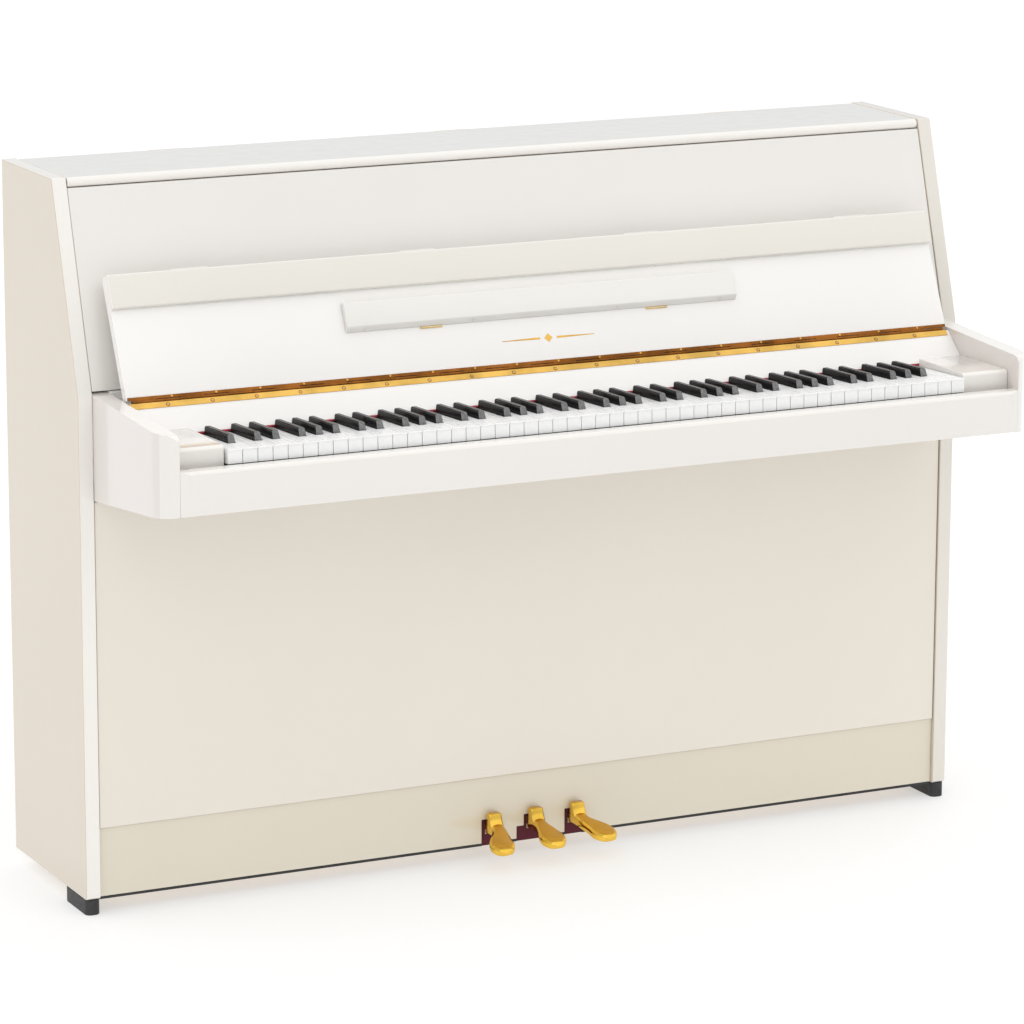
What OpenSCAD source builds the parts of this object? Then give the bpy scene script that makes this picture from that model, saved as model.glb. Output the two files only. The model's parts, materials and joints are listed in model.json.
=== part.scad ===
// Upright piano. Millimetres, +Z up, origin on the floor under the middle of
// the case. The player sits on the -Y side; +X is the treble end.

/* [Case] */
// Overall width over the two side panels
case_width = 1490; // [1400:1:1560]
// Overall depth, back of the case to the front of the key slip
case_depth = 580; // [540:1:640]
// Overall height to the top of the side panels
case_height = 1100; // [1050:1:1180]
// Thickness of each side panel
side_thickness = 23; // [18:1:30]
// Height of the four feet
foot_height = 24; // [15:1:40]
// Front edge of the side panels below the keyboard, from the middle of the depth
side_front_y = -15; // [-40:1:20]
// Front edge of the side panels at the top
side_top_front_y = 79; // [40:1:120]
// Height at which the front edge of a side panel starts to slant back
kink_z = 790; // [770:1:810]
// Height of the top edge of the toe rail
toe_rail_top = 132; // [110:1:160]

/* [Keyboard] */
// Number of white keys
white_keys = 52; // [52:1:52]
// Width over all the white keys
key_span = 1225; // [1215:0.5:1235]
// Top of the white keys at their front edge
key_top_z = 750; // [735:1:770]
// Front edge of the white keys
key_front_y = -264; // [-275:1:-250]
// Length of white key seen in front of the hinge rail
key_visible = 145; // [140:1:152]
// Length of the wide front part of a white key
key_head = 50; // [46:1:52]
// Distance from the front of a white key to its balance point
key_balance = 222; // [200:1:240]
// How far the front of a key goes down
key_dip = 10; // [9:0.1:11]
// Height of a black key above the white keys
sharp_height = 12; // [10:0.5:13]
// Thickness of each arm beside the keyboard
arm_thickness = 27; // [22:1:34]
// Radius of the upright corner at the front of each arm
arm_corner = 48; // [20:1:60]

/* [Fall board] */
// Length of the fall board from its hinge to its free edge
fall_length = 191.5; // [188:0.5:200]
// Thickness of the fall board
fall_thickness = 15; // [10:1:18]
// How far the open fall board leans back from upright
fall_lean = 25; // [15:1:28]
// Height of the folding lip
lip_height = 54; // [44:0.5:55]
// Width of the folding music shelf
shelf_width = 658; // [600:1:720]

/* [Pedals] */
// Distance between neighbouring pedals
pedal_pitch = 72; // [60:1:85]
// Width of the rounded end of a pedal
pedal_toe_width = 40; // [32:1:46]
// How far the ends of the outer pedals are turned outward
pedal_flare = 15; // [0:1:20]

/* [Hidden] */
$fn = 48;
e = 0.2;
HW = case_width / 2;
YB = case_depth / 2;
IW = HW - side_thickness;
AI = IW - arm_thickness;
YF = -YB;
pitch = key_span / white_keys;
g1 = 3 * pitch / 5;
g2 = 4 * pitch / 7;
KX = -key_span / 2;
bal_y = key_front_y + key_balance;
tilt = asin(key_dip / key_balance);
bed_top = 700;
slip_top = 728;
ktl = key_top_z - key_dip;
rail_y = key_front_y + key_visible;
ax_y = -74;
ax_z = 789;
rail_a = atan2(ax_z - 747, ax_y - rail_y) - 0.577;
slant = (side_top_front_y - side_front_y) / (case_height - kink_z);
arm_slope = 0.0488;
rear_foot_x = 660;
ped_y = 45;
ped_z = 52;
rod_y = 108;
note_w = key_span / 88;
str_y = 146;
bass_y = 136;
lean_b = 22;
function note_x(n) = KX + (n - 0.5) * note_w;
function len_t(n) = 52 * pow(1.0409, 88 - n);
function zb_t(n) = 930 - len_t(n);
function zb_b(n) = 165 + 50 * (n - 1) / 25;
function xb(n, z) = note_x(n) + (905 - z) * tan(lean_b);
function tail0(s) = s < 5 ? s * g1 : 3 * pitch + (s - 5) * g2;
function tailw(s) = s < 5 ? g1 : g2;
function oct_x(k) = KX + (2 + 7 * k) * pitch;
function arc(cx, cy, r, a, b, n = 8) =
    [for (i = [0:n]) [cx + r * cos(a + (b - a) * i / n),
                      cy + r * sin(a + (b - a) * i / n)]];

GOLD = [0.83, 0.68, 0.33];
WHITE = [0.96, 0.95, 0.92];
WOOD = [0.80, 0.66, 0.45];
SPRUCE = [0.90, 0.78, 0.55];
FELT = [0.94, 0.93, 0.89];
RED = [0.65, 0.08, 0.14];
IRON = [0.72, 0.58, 0.30];
STEEL = [0.75, 0.76, 0.78];
BLACK = [0.06, 0.06, 0.07];

/* [View] */
// Sub-part to show on its own

// A side-view outline (depth, height) extruded across the width
module across(x0, x1) {
    translate([x0, 0, 0]) rotate([90, 0, 90]) linear_extrude(height = x1 - x0) children();
}

// A box from its two opposite corners
module box(a, b) {
    translate(a) cube([b[0] - a[0], b[1] - a[1], b[2] - a[2]]);
}

// ---------------------------------------------------------------- case
module side_panel(x0) {
    across(x0, x0 + side_thickness) polygon(concat(
        [[YB, foot_height], [YB, case_height]],
        [[side_top_front_y, case_height], [side_front_y, kink_z]],
        arc(side_front_y + 6, foot_height + 6, 6, 180, 270, 4)));
}
module side_panel_left() { color(WHITE) side_panel(-HW); }
module side_panel_right() { color(WHITE) side_panel(IW); }

// Arm outline: top slopes down to the front, underside slopes up to the front
module arm_outline() {
    function top(y) = 793.3 + (y - side_front_y) * arm_slope;
    polygon(concat(
        [[side_front_y + 0.5, 634], [side_front_y + 0.5, 664], [20, 664], [20, 795]],
        [[side_front_y, top(side_front_y)]],
        arc(YF + 19, top(YF + 19) - 14, 14, 87, 180, 7),
        arc(YF + 11, 666.5, 6, 180, 265, 3)));
}
module arm(m) {
    mirror([m, 0, 0]) intersection() {
        across(AI, IW) arm_outline();
        union() {
            box([AI, YF + arm_corner, 600], [IW, 30, 820]);
            translate([IW - arm_corner, YF + arm_corner, 600]) cylinder(r = arm_corner, h = 220);
        }
    }
}
module arm_left() { color(WHITE) arm(1); }
module arm_right() { color(WHITE) arm(0); }

module key_bed() {
    color(WHITE) box([-AI + e, YF + 23.2, 664], [AI - e, 90, bed_top]);
}
module key_slip() {
    color(WHITE) intersection() {
        across(-AI + e, AI - e) polygon(concat(
            [[YF + 23, 663], [YF + 23, slip_top]],
            arc(YF + 7, slip_top - 7, 7, 90, 180, 6),
            arc(YF + 3, 666, 3, 180, 270, 3)));
        union() {
            box([-IW + arm_corner, YF - 1, 600], [IW - arm_corner, YF + 40, 820]);
            for (s = [-1, 1]) translate([s * (IW - arm_corner), YF + arm_corner, 600])
                cylinder(r = arm_corner, h = 220);
        }
    }
}
module key_block(m) {
    mirror([m, 0, 0]) across(key_span / 2 + 2, AI - e) polygon(concat(
        [[-60, bed_top + e], [-60, 744], [rail_y - 2.5, 744], [rail_y - 2.5, 755]],
        arc(key_front_y + 16, 749, 6, 90, 180, 5),
        [[key_front_y + 10, bed_top + e]]));
}
module key_block_left() { color(WHITE) key_block(1); }
module key_block_right() { color(WHITE) key_block(0); }

// Sloping rail behind the keys that carries the fall board hinge
module hinge_rail() {
    color(WHITE) across(-AI + e, AI - e) polygon([
        [rail_y, 747],
        [ax_y - 3.19 * cos(rail_a) + 0.62 * sin(rail_a),
         ax_z - 3.19 * sin(rail_a) - 0.62 * cos(rail_a)], [ax_y + 4, ax_z - 6.5],
        [-20, 783.5], [-20, 796], [6, 796], [6, 768], [-92, 768], [-104, 755],
        [-104, 747]]);
}
module name_felt() {
    color(RED) box([-622, rail_y - 2, 744.4], [622, rail_y + 14, 746.9]);
}
module upper_panel() {
    y0 = side_front_y + 1.6;
    color(WHITE) across(-IW + 0.7, IW - 0.7) polygon([
        [y0 + (797 - kink_z) * slant, 797],
        [y0 + (1084.5 - kink_z) * slant, 1084.5],
        [y0 + 21 + (1084.5 - kink_z) * slant, 1084.5],
        [y0 + 21 + (797 - kink_z) * slant, 797]]);
}
module lower_panel() {
    color(WHITE) union() {
        box([-IW + 1.2, -12, toe_rail_top + 0.8], [IW - 1.2, 3, 632]);
        // the top corners step in so that the panel tips out between the arms
        box([-AI + 1, -12, toe_rail_top + 0.8], [AI - 1, 3, 662]);
    }
}
module toe_rail() {
    color(WHITE) difference() {
        box([-IW + e, -8, foot_height + 2], [IW - e, 12, toe_rail_top]);
        box([-pedal_pitch - 15.5, -20, 0], [-pedal_pitch + 15.5, 20, 64]);
        box([pedal_pitch - 15.5, -20, 0], [pedal_pitch + 15.5, 20, 64]);
        box([-14.5, -20, 0], [14.5, 20, 64]);
        box([-27, -20, 0], [0, 20, 46]);
    }
}
// Bottom board with a slot under each pedal lever and open saddles for its pivots
module bottom_board() {
    color(WOOD) difference() {
        union() {
            box([-IW + e, 12.2, foot_height + 2], [IW - e, 202.5, 44]);
            for (c = [-1:1], s = [-1, 1]) translate([c * pedal_pitch + s * 14, 0, 0])
                box([-3, ped_y - 12, 40], [3, ped_y + 12, 59]);
        }
        for (c = [-1:1]) {
            box([c * pedal_pitch - 10.5, 12, 0], [c * pedal_pitch + 10.5, 130, 50]);
            box([c * pedal_pitch - 18, ped_y - 4.2, ped_z],
                [c * pedal_pitch + 18, ped_y + 4.2, 70]);
            translate([c * pedal_pitch - 18, ped_y, ped_z]) rotate([0, 90, 0])
                cylinder(r = 4.2, h = 36);
        }
    }
}
module foot(x, y0, y1, width, top) {
    hw = width / 2;
    h = top - e / 4;
    union() {
        box([x - hw, y0 + 9, 0], [x + hw, y1 - 9, h]);
        box([x - hw + 9, y0, 0], [x + hw - 9, y1, h]);
        for (sx = [-1, 1], y = [y0 + 9, y1 - 9]) translate([x + sx * (hw - 9), y, 0])
            cylinder(r = 9, h = h);
    }
}
module front_feet() {
    color(BLACK) for (s = [-1, 1])
        foot(s * (HW - side_thickness / 2), side_front_y + 1, side_front_y + 91,
            side_thickness, foot_height);
}
module rear_feet() {
    color(BLACK) for (s = [-1, 1])
        foot(s * rear_foot_x, YB - 81, YB - 11, 40, foot_height + 2);
}
module back_posts() {
    color(WOOD) for (i = [-2:2])
        box([i * 340 - 30, 203, 90.1], [i * 340 + 30, 284, 999.9]);
}
module back_beams() {
    color(WOOD) {
        box([-IW + e, 200.4, 1000], [IW - e, 284, 1083.5]);
        box([-IW + e, 203, foot_height + 2], [IW - e, 284, 90]);
    }
}

// ---------------------------------------------------------------- sound
module soundboard() {
    color(SPRUCE) box([-IW + 4, 176, 92], [IW - 4, 184, 958]);
}
module soundboard_ribs() {
    color(SPRUCE) intersection() {
        box([-IW + 8, 184.1, 96], [IW - 8, 202.8, 950]);
        union() for (i = [-6:6]) translate([i * 150, 193, 525]) rotate([0, 45, 0])
            cube([24, 30, 2400], center = true);
    }
}
module bridges() {
    color(WOOD) {
        translate([0, 175.9, 0]) rotate([90, 0, 0]) linear_extrude(height = 28.4)
            polygon(concat([for (n = [26:2:88]) [note_x(n), zb_t(n) + 14]],
                [for (n = [88:-2:26]) [note_x(n) + 3, zb_t(n) - 14]]));
        translate([0, 175.9, 0]) rotate([90, 0, 0]) linear_extrude(height = 38)
            polygon([[xb(1, 165) - 20, 176], [xb(26, 215) + 20, 229],
                     [xb(26, 215) + 20, 201], [xb(1, 165) - 20, 150]]);
    }
}
// Openings of the plate above the line of the treble hitch pins
module plate_window(a, b) {
    polygon(concat([for (n = [a:2:b]) [note_x(n), zb_t(n) - 42]],
        [[note_x(b), 930], [note_x(a), 930]]));
}
module plate_face() {
    difference() {
        translate([-IW + 10, 66]) square([2 * IW - 20, 896]);
        translate([-IW + 45, 250]) square([IW - 45 - 262, 680]);
        plate_window(28, 46);
        plate_window(49, 67);
        plate_window(70, 86);
        polygon([[xb(1, 165) - 40, 140], [xb(1, 165) - 40, 190],
                 [xb(26, 215) + 40, 244], [xb(26, 215) + 40, 190]]);
        polygon(concat([for (n = [24:2:90]) [note_x(n) - 8, zb_t(n) + 26]],
            [for (n = [90:-2:24]) [note_x(n) + 12, zb_t(n) - 26]]));
    }
}
module iron_plate() {
    color(IRON) union() {
        translate([0, 166, 0]) rotate([90, 0, 0]) linear_extrude(height = 8) plate_face();
        box([-IW + 10, 150, 940], [IW - 10, 158.1, 1078]);
        box([-245, 147.6, 938], [IW - 60, 150.1, 946]);
    }
}
module pin_block() {
    color(WOOD) box([-IW + 10, 158.2, 964], [IW - 10, 200.2, 1078]);
}
function pin_z(n) = 978 + 26 * (n % 3);
module tuning_pins() {
    color(STEEL) {
        for (n = [1:26]) translate([xb(n, pin_z(n)), 149.9, pin_z(n)]) rotate([90, 0, 0])
            cylinder(r = 3.3, h = 32, $fn = 8);
        for (n = [27:88], s = [-1, 1])
            translate([note_x(n) + s * 2.6, 149.9, pin_z(n) + 6 + s * 6]) rotate([90, 0, 0])
                cylinder(r = 3.3, h = 32, $fn = 8);
    }
}
module strings_bass() {
    color(GOLD) for (n = [1:26]) {
        z0 = zb_b(n) - 48;
        z1 = pin_z(n) - 4;
        translate([xb(n, z0), bass_y, z0]) rotate([0, -lean_b, 0])
            cylinder(r = 1.3, h = (z1 - z0) / cos(lean_b), $fn = 6);
    }
}
module strings_treble() {
    color(STEEL) for (n = [27:88], s = [-1, 1]) {
        z0 = zb_t(n) - 56;
        translate([note_x(n) + s * 2.6, str_y, z0])
            cylinder(r = 0.6, h = pin_z(n) + 6 + s * 6 - 3.5 - z0, $fn = 6);
    }
}

// ---------------------------------------------------------------- keys
module key_rest() {
    translate([0, bal_y, ktl]) rotate([-tilt, 0, 0]) translate([0, -bal_y, -ktl]) children();
}
// White key: a wide head, a narrower tail and a thin cover that overhangs the front.
// w = white index in the octave, s = semitone, kc = cut left, kd = cut right
module white_key(x, w, s, kc, kd) {
    h0 = x + w * pitch + 0.5;
    h1 = x + (w + 1) * pitch - 0.5;
    t0 = kc ? x + tail0(s) + 0.5 : h0;
    t1 = kd ? x + tail0(s) + tailw(s) - 0.5 : h1;
    yc = key_front_y + key_head - 2;
    union() {
        translate([0, 0, ktl - 22]) linear_extrude(height = 20) polygon([
            [h0, key_front_y + 2.5], [h1, key_front_y + 2.5], [h1, yc], [t1, yc],
            [t1, 85], [t0, 85], [t0, yc], [h0, yc]]);
        translate([0, 0, ktl - 2]) linear_extrude(height = 2) polygon([
            [h0, key_front_y], [h1, key_front_y], [h1, yc], [t1, yc],
            [t1, rail_y + 12], [t0, rail_y + 12], [t0, yc], [h0, yc]]);
    }
}
module whites(w, s, ks, cl, cr) {
    color(WHITE) key_rest() for (k = ks)
        white_key(oct_x(k), w, s, cl && !(k == -1 && s == 9), cr && k < 7);
}
module sharps(s, ks) {
    yf = key_front_y + key_head;
    color(BLACK) key_rest() for (k = ks) {
        c = oct_x(k) + tail0(s) + tailw(s) / 2;
        union() {
            box([c - 5.7, yf + 2, ktl - 22], [c + 5.7, 85, ktl - 0.5]);
            intersection() {
                translate([c, rail_y - 4.5, 0]) rotate([90, 0, 0])
                    linear_extrude(height = rail_y - 4.5 - yf) polygon([[-5.6, ktl - 1],
                        [5.6, ktl - 1], [5.4, ktl + 3], [4.7, ktl + sharp_height - 1.5],
                        [3.2, ktl + sharp_height], [-3.2, ktl + sharp_height],
                        [-4.7, ktl + sharp_height - 1.5], [-5.4, ktl + 3]]);
                across(c - 8, c + 8) polygon([[yf, ktl - 1], [yf + 1, ktl + 3],
                    [yf + 5, ktl + sharp_height], [rail_y - 4.5, ktl + sharp_height],
                    [rail_y - 4.5, ktl - 1]]);
            }
        }
    }
}
module keys_c() { whites(0, 0, [0:7], false, true); }
module keys_c_sharp() { sharps(1, [0:6]); }
module keys_d() { whites(1, 2, [0:6], true, true); }
module keys_d_sharp() { sharps(3, [0:6]); }
module keys_e() { whites(2, 4, [0:6], true, false); }
module keys_f() { whites(3, 5, [0:6], false, true); }
module keys_f_sharp() { sharps(6, [0:6]); }
module keys_g() { whites(4, 7, [0:6], true, true); }
module keys_g_sharp() { sharps(8, [0:6]); }
module keys_a() { whites(5, 9, [-1:6], true, true); }
module keys_a_sharp() { sharps(10, [-1:6]); }
module keys_b() { whites(6, 11, [-1:6], true, false); }

module key_frame() {
    color(WOOD) union() {
        box([-612, key_front_y + 12, bed_top + e], [612, key_front_y + 52, 711]);
        box([-612, bal_y - 16, bed_top + e], [612, bal_y + 16, 716]);
        box([-612, 56, bed_top + e], [612, 84, 708]);
        for (i = [-2:2]) box([i * 297 - 15, key_front_y + 12, bed_top + e],
            [i * 297 + 15, 84, 706]);
    }
}

// ---------------------------------------------------------------- action
module action_frame() {
    color(IRON) union() {
        for (x = [-636, 628]) across(x, x + 8) polygon([[48, bed_top + e],
            [88, bed_top + e], [97, 778], [116, 778], [116, 797], [106, 804], [104, 962],
            [92, 962], [86, 816], [62, 772]]);
        box([-630, 97, 779], [630, 116, 796]);
    }
}
// Felt hammer heads, pointing at the strings
module hammer_heads() {
    color(FELT) for (n = [1:88]) across(note_x(n) - 4, note_x(n) + 4) polygon(concat(
        [[76, 892], [76, 912]], arc(98, 902, 8, 75, -75, 6)));
}
module hammer_shanks() {
    color(WOOD) {
        for (n = [1:88]) across(note_x(n) - 2.6, note_x(n) + 2.6) polygon([
            [83, 797], [93, 797], [94, 812], [90, 822], [77, 891.8], [71, 891.8],
            [82, 820]]);
        box([-618, 56, 868], [618, 68, 890]);
    }
}
module damper(n, dy) {
    across(note_x(n) - 3.5, note_x(n) + 3.5) polygon([
        [117, 801], [123, 801], [125, 812], [128 + dy, 846], [144.8 + dy, 846],
        [144.8 + dy, 880], [135 + dy, 880], [132 + dy, 850], [124 + dy, 850], [118, 812]]);
}
module dampers() {
    color(RED) {
        for (n = [1:29]) damper(n, -10.6);
        for (n = [30:68]) damper(n, 0);
    }
}
module muffler_rail() {
    color(FELT) box([-606, 127, 928], [606, 131, 968]);
}

// ---------------------------------------------------------------- top lid
lid_ay = 286;
lid_az = 1096.5;
module top_lid() {
    color(WHITE) across(-IW + 1.8, IW - 1.8) polygon(concat(
        [[281.4, 1085], [281.4, 1099.5]],
        arc(side_top_front_y + 5, 1092.25, 7.25, 90, 270, 10)));
}
module lid_hinge(m) {
    for (x = [-480, 0, 480]) translate([x, 0, 0]) union() {
        for (i = m ? [-1, 1] : [0]) translate([i * 20 - 9.8, lid_ay, lid_az])
            rotate([0, 90, 0]) cylinder(r = 2.4, h = 19.6, $fn = 24);
        if (m) {
            box([-29.8, 281.5, 1086], [29.8, 282.7, 1097.1]);
            for (i = [-1, 1]) box([i * 20 - 9.8, 282, 1095.9], [i * 20 + 9.8, 286, 1097.1]);
        } else {
            box([-29.8, 284.1, 1040], [29.8, 285.3, 1093.5]);
            box([-9.8, 284.1, 1093], [9.8, 285.3, 1096.5]);
        }
    }
}
module lid_hinge_moving() { color(GOLD) lid_hinge(true); }
module lid_hinge_fixed() { color(GOLD) lid_hinge(false); }

// ---------------------------------------------------------------- fall board
module fall_open() {
    translate([0, ax_y, ax_z]) rotate([-fall_lean, 0, 0]) children();
}
module fall_board() {
    color(WHITE) fall_open() across(-691.5, 691.5) polygon(concat(
        [[0, 3], [fall_thickness, 3]],
        arc(fall_thickness - 8, fall_length - 8, 8, 0, 90, 6),
        [[0, fall_length]]));
}
module knuckles(odd) {
    for (i = [odd:2:35]) translate([-684 + i * 38 + 0.15, 0, 0]) {
        rotate([0, 90, 0]) cylinder(r = 2.4, h = 37.7, $fn = 24);
        translate([0, -1.2, 0]) cube([37.7, 1.2, 3.2]);
    }
}
module fall_hinge_moving_leaf() {
    color(GOLD) fall_open() union() {
        translate([-690, -1.2, 2.9]) cube([1380, 1.18, 4.4]);
        knuckles(0);
    }
}
module fall_hinge_fixed_leaf() {
    color(GOLD) translate([0, ax_y, ax_z]) rotate([rail_a, 0, 0]) union() {
        translate([-689, -12.7, -0.5]) cube([1378, 9.8, 1.1]);
        rotate([90, 0, 0]) for (i = [1:2:35])
            translate([-684 + i * 38 + 0.15, 0, 0]) {
                rotate([0, 90, 0]) cylinder(r = 2.4, h = 37.7, $fn = 24);
                translate([0, -0.58, 0]) cube([37.7, 1.2, 3.2]);
            }
    }
}
lip_axis_y = -0.25;
lip_axis_z = fall_length + 2.3;
module lip_hinge() {
    color(GOLD) fall_open() for (x = [-560, -190, 190, 560]) union() {
        translate([x - 30, lip_axis_y, lip_axis_z]) rotate([0, 90, 0])
            cylinder(r = 1.5, h = 60, $fn = 24);
        translate([x - 30, 0.3, fall_length + 0.02]) cube([60, 7, 1]);
        translate([x - 30, -0.1, fall_length + 0.6]) cube([60, 3, 1.2]);
    }
}
module fall_lip() {
    color(WHITE) fall_open() across(-691.5, 691.5) polygon(concat(
        [[-0.5, lip_axis_z + 0.2 - lip_height], [-0.5, fall_length + 0.4]],
        arc(-6.5, fall_length - 2.6, 3, 90, 180, 4),
        arc(-7.5, lip_axis_z + 2.2 - lip_height, 2, 180, 270, 4)));
}
shelf_ay = -1.7;
shelf_az = 74.2;
module music_shelf_hinges() {
    color(GOLD) fall_open() for (x = [-190, 191]) union() {
        translate([x - 18, shelf_ay, shelf_az]) rotate([0, 90, 0])
            cylinder(r = 1.5, h = 36, $fn = 24);
        translate([x - 18, -1, 72.4]) cube([36, 0.95, 1.6]);
    }
}
module music_shelf() {
    color(WHITE) fall_open() across(-shelf_width / 2, shelf_width / 2) polygon([
        [-0.6, 76], [-2.5, 76], [-9.2, 81.8], [-10, 83.2], [-10, 119.8], [-8.8, 121],
        [-0.6, 121]]);
}

// ---------------------------------------------------------------- pedals
// Foot plate: neck width at the rear, widening to a rounded end turned by f
module pedal_plan(f) {
    w = pedal_toe_width / 2;
    polygon(concat(
        [[-10.5, -12], [10.5, -12], [10.8, -34]],
        [for (t = [0.2:0.2:1]) [f * t + 10.8 + (w - 10.8) * (3 * t * t - 2 * t * t * t),
            -34 - 46 * t]],
        [for (a = [15:15:165]) [f * 1.15 + w * cos(a), -80 - 22 * sin(a)]],
        [for (t = [1:-0.2:0]) [f * t - 10.8 - (w - 10.8) * (3 * t * t - 2 * t * t * t),
            -34 - 46 * t]]));
}
module pedal(c, f) {
    color(GOLD) translate([c, 0, 0]) union() {
        intersection() {
            translate([0, 0, 10]) linear_extrude(height = 90) pedal_plan(f);
            across(-60, 60) polygon([[-12, 40], [-12, 77], [-26, 77], [-28.5, 68],
                [-32, 62], [-42, 57.5], [-70, 50], [-90, 45], [-99, 41.5], [-103, 38],
                [-103, 33], [-98, 31], [-70, 36.5], [-40, 43]]);
        }
        box([-8, -14, 46], [8, rod_y + 10, 58]);
        translate([-17, ped_y, ped_z]) rotate([0, 90, 0]) cylinder(r = 4, h = 34);
    }
}
module pedal_soft() { pedal(-pedal_pitch, -pedal_flare); }
module pedal_practice() { pedal(0, 0); }
module pedal_sustain() { pedal(pedal_pitch, pedal_flare); }
module rod(c) {
    color(WOOD) translate([c, rod_y, 58.6]) cylinder(r = 6, h = 706);
}
module rod_soft() { rod(-pedal_pitch); }
module rod_practice() { rod(0); }
module rod_sustain() { rod(pedal_pitch); }

side_panel_left();
side_panel_right();
arm_left();
arm_right();
key_bed();
key_slip();
key_block_left();
key_block_right();
hinge_rail();
name_felt();
upper_panel();
toe_rail();
bottom_board();
front_feet();
rear_feet();
back_posts();
back_beams();
soundboard();
soundboard_ribs();
bridges();
iron_plate();
pin_block();
tuning_pins();
strings_bass();
strings_treble();
key_frame();
action_frame();
fall_hinge_fixed_leaf();
lid_hinge_fixed();
keys_c();
keys_c_sharp();
keys_d();
keys_d_sharp();
keys_e();
keys_f();
keys_f_sharp();
keys_g();
keys_g_sharp();
keys_a();
keys_a_sharp();
keys_b();
top_lid();
lid_hinge_moving();
fall_board();
fall_hinge_moving_leaf();
lip_hinge();
fall_lip();
music_shelf_hinges();
music_shelf();
lower_panel();
pedal_soft();
pedal_practice();
pedal_sustain();
rod_soft();
rod_practice();
rod_sustain();
hammer_heads();
hammer_shanks();
dampers();
muffler_rail();
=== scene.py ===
import json
import math

import bmesh
import bpy
from mathutils import Matrix, Vector

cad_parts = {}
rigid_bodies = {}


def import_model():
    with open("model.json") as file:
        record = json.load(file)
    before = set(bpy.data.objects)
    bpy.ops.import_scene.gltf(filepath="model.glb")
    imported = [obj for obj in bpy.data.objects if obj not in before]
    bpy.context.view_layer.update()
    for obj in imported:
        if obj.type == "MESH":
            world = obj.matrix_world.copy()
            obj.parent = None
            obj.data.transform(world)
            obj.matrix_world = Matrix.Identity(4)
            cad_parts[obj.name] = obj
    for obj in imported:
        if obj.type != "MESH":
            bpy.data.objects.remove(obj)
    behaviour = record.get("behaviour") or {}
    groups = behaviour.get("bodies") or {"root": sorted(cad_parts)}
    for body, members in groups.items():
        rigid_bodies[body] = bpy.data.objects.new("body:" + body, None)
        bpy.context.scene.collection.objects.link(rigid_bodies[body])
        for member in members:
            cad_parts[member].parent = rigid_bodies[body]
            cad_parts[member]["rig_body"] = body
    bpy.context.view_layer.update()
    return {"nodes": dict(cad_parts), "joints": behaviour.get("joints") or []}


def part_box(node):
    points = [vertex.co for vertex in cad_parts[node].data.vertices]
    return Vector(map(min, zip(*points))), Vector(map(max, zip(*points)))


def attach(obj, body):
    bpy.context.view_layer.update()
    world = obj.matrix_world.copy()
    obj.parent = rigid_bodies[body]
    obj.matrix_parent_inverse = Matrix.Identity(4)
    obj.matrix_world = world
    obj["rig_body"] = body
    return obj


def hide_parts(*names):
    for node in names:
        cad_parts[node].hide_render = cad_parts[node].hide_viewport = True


# The upright piano's looks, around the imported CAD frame: metres, +Z up, the
# player at -Y. Pieces are written in millimetres and scaled once, by scaled().
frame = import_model()
NODES = frame["nodes"]
JOINTS = {j["name"]: j for j in frame["joints"]}
MM = 0.001

# ---------------------------------------------------------------- camera
# A long lens a little above the keys, from the bass side.
CAMERA_PLACE = (-3.142, -6.362, 2.169)
CAMERA_YAW = 26.094
CAMERA_PITCH = 12.897
CAMERA_ROLL = 0.186
CAMERA_LENS = 166.3
CAMERA_SHIFT_X = -0.0039
CAMERA_REACH = 60
SENSOR_WIDTH = 36


def add_camera():
    """The camera that the main view is taken with, aimed by yaw, pitch and roll."""
    yaw, pitch, roll = (math.radians(a) for a in (CAMERA_YAW, CAMERA_PITCH, CAMERA_ROLL))
    ahead = Vector((math.sin(yaw) * math.cos(pitch), math.cos(yaw) * math.cos(pitch),
                    -math.sin(pitch)))
    right = Vector((math.cos(yaw), -math.sin(yaw), 0))
    up = right.cross(ahead)
    right_r = math.cos(roll) * right + math.sin(roll) * up
    up_r = -math.sin(roll) * right + math.cos(roll) * up
    turn = Matrix((right_r, up_r, -ahead)).transposed()
    data = bpy.data.cameras.new("camera")
    data.sensor_width = SENSOR_WIDTH
    data.lens = CAMERA_LENS
    data.shift_x = CAMERA_SHIFT_X
    data.clip_end = CAMERA_REACH
    camera = bpy.data.objects.new("camera", data)
    camera.matrix_world = Matrix.Translation(CAMERA_PLACE) @ turn.to_4x4()
    bpy.context.scene.collection.objects.link(camera)
    bpy.context.scene.camera = camera


add_camera()


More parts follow.
